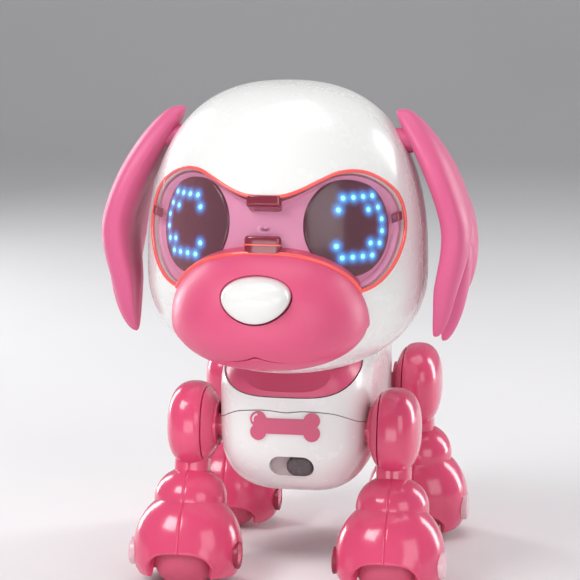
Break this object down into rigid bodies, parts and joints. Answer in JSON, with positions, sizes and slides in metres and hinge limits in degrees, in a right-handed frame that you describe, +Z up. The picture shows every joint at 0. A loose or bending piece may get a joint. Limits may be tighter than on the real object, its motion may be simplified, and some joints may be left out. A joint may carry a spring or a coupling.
{
  "type": "robot dog toy",
  "caption": "Small standing robot puppy with a turning round head, light-up goggle eyes, swinging ears, a press nose, jointed legs and rolling paws.",
  "frame": {"origin": "centre of the toy's box, on the ground that its paw wheels stand on", "axes": "+Z up, nose towards -Y, +X towards the dog's own left; the head, body and legs mirror across X = 0"},
  "size_m": [0.0914, 0.1208, 0.1259],
  "materials": {
    "white_shell": "gloss white moulded",
    "pink_shell": "gloss pink moulded",
    "pink_ear": "satin pink moulded",
    "pink_mask": "satin lilac pink",
    "pink_roller": "matt dusty pink",
    "pale_cap": "satin pale pink",
    "clear_visor": "clear tinted glossy",
    "eye_dark": "dark smoked",
    "black_plastic": "moulded black",
    "grey_knob": "ribbed dark grey",
    "circuit_board": "green solder mask",
    "bright_metal": "plated"
  },
  "bodies": {
    "body": {"body_top_shell": "white_shell", "body_bottom_shell": "white_shell", "neck_cradle": "pink_shell", "main_board": "circuit_board", "speaker": "black_plastic", "slide_switch": "bright_metal", "bone_badge": "pink_shell", "battery_holder": "black_plastic", "battery_cell_1": "bright_metal", "battery_cell_2": "bright_metal", "battery_cell_3": "bright_metal", "left_battery_contact": "bright_metal", "right_battery_contact": "bright_metal", "battery_cover": "white_shell", "cover_screw": "bright_metal", "tail": "pink_shell"},
    "head": {"head_front_shell": "white_shell", "head_rear_shell": "white_shell", "face_mask": "pink_mask", "visor": "clear_visor", "left_eye_panel": "eye_dark", "right_eye_panel": "eye_dark", "snout_shell": "pink_shell", "lower_jaw": "pink_shell", "nose_switch": "black_plastic", "head_board": "circuit_board", "microphone": "bright_metal", "left_ear_screw": "bright_metal", "right_ear_screw": "bright_metal", "neck_post": "pink_shell"},
    "left_ear": {"left_ear": "pink_ear"},
    "right_ear": {"right_ear": "pink_ear"},
    "nose": {"nose_button": "white_shell"},
    "power_knob": {"power_knob": "grey_knob"},
    "front_right_thigh": {"front_right_thigh_outer": "pink_shell", "front_right_thigh_inner": "pink_shell"},
    "front_right_shin": {"front_right_shin_outer": "pink_shell", "front_right_shin_inner": "pink_shell", "front_right_paw_cap": "pale_cap"},
    "front_right_wheel": {"front_right_paw_wheel": "pink_roller"},
    "front_left_thigh": {"front_left_thigh_outer": "pink_shell", "front_left_thigh_inner": "pink_shell"},
    "front_left_shin": {"front_left_shin_outer": "pink_shell", "front_left_shin_inner": "pink_shell", "front_left_paw_cap": "pale_cap"},
    "front_left_wheel": {"front_left_paw_wheel": "pink_roller"},
    "rear_right_thigh": {"rear_right_thigh_outer": "pink_shell", "rear_right_thigh_inner": "pink_shell"},
    "rear_right_shin": {"rear_right_shin_outer": "pink_shell", "rear_right_shin_inner": "pink_shell", "rear_right_paw_cap": "pale_cap"},
    "rear_right_wheel": {"rear_right_paw_wheel": "pink_roller"},
    "rear_left_thigh": {"rear_left_thigh_outer": "pink_shell", "rear_left_thigh_inner": "pink_shell"},
    "rear_left_shin": {"rear_left_shin_outer": "pink_shell", "rear_left_shin_inner": "pink_shell", "rear_left_paw_cap": "pale_cap"},
    "rear_left_wheel": {"rear_left_paw_wheel": "pink_roller"}
  },
  "joints": [
    {"name": "neck_turn", "type": "hinge", "parent": "body", "child": "head", "pos_m": [0, -0.00613, 0.052], "axis": [0, 0, 1], "range_deg": [-40, 40]},
    {"name": "left_ear_swing", "type": "hinge", "parent": "head", "child": "left_ear", "pos_m": [0.028, -0.01213, 0.112], "axis": [1, 0, 0], "range_deg": [-12, 25]},
    {"name": "right_ear_swing", "type": "hinge", "parent": "head", "child": "right_ear", "pos_m": [-0.028, -0.01213, 0.112], "axis": [1, 0, 0], "range_deg": [-12, 25]},
    {"name": "nose_press", "type": "slide", "parent": "head", "child": "nose", "axis": [0, 1, 0], "range_m": [0, 0.001], "stiffness_N_per_m": 300, "springref_m": -0.0004},
    {"name": "power_slide", "type": "slide", "parent": "body", "child": "power_knob", "axis": [-1, 0, 0], "range_m": [0, 0.004]},
    {"name": "front_right_hip", "type": "hinge", "parent": "body", "child": "front_right_thigh", "pos_m": [-0.0205, -0.00462, 0.03891], "axis": [1, 0, 0], "range_deg": [-80, 15]},
    {"name": "front_right_knee", "type": "hinge", "parent": "front_right_thigh", "child": "front_right_shin", "pos_m": [-0.0255, -0.00659, 0.03212], "axis": [1, 0, 0], "range_deg": [-15, 15]},
    {"name": "front_right_roll", "type": "hinge", "parent": "front_right_shin", "child": "front_right_wheel", "pos_m": [-0.0255, -0.01601, 0.0082], "axis": [1, 0, 0], "continuous": true},
    {"name": "front_left_hip", "type": "hinge", "parent": "body", "child": "front_left_thigh", "pos_m": [0.0205, -0.00462, 0.03891], "axis": [1, 0, 0], "range_deg": [-80, 15]},
    {"name": "front_left_knee", "type": "hinge", "parent": "front_left_thigh", "child": "front_left_shin", "pos_m": [0.0255, -0.00659, 0.03212], "axis": [1, 0, 0], "range_deg": [-15, 15]},
    {"name": "front_left_roll", "type": "hinge", "parent": "front_left_shin", "child": "front_left_wheel", "pos_m": [0.0255, -0.01601, 0.0082], "axis": [1, 0, 0], "continuous": true},
    {"name": "rear_right_hip", "type": "hinge", "parent": "body", "child": "rear_right_thigh", "pos_m": [-0.0205, 0.04238, 0.04086], "axis": [1, 0, 0], "range_deg": [-15, 80]},
    {"name": "rear_right_knee", "type": "hinge", "parent": "rear_right_thigh", "child": "rear_right_shin", "pos_m": [-0.0255, 0.04236, 0.03379], "axis": [1, 0, 0], "range_deg": [-15, 15]},
    {"name": "rear_right_roll", "type": "hinge", "parent": "rear_right_shin", "child": "rear_right_wheel", "pos_m": [-0.0255, 0.0399, 0.0082], "axis": [1, 0, 0], "continuous": true},
    {"name": "rear_left_hip", "type": "hinge", "parent": "body", "child": "rear_left_thigh", "pos_m": [0.0205, 0.04238, 0.04086], "axis": [1, 0, 0], "range_deg": [-15, 80]},
    {"name": "rear_left_knee", "type": "hinge", "parent": "rear_left_thigh", "child": "rear_left_shin", "pos_m": [0.0255, 0.04236, 0.03379], "axis": [1, 0, 0], "range_deg": [-15, 15]},
    {"name": "rear_left_roll", "type": "hinge", "parent": "rear_left_shin", "child": "rear_left_wheel", "pos_m": [0.0255, 0.0399, 0.0082], "axis": [1, 0, 0], "continuous": true}
  ]
}
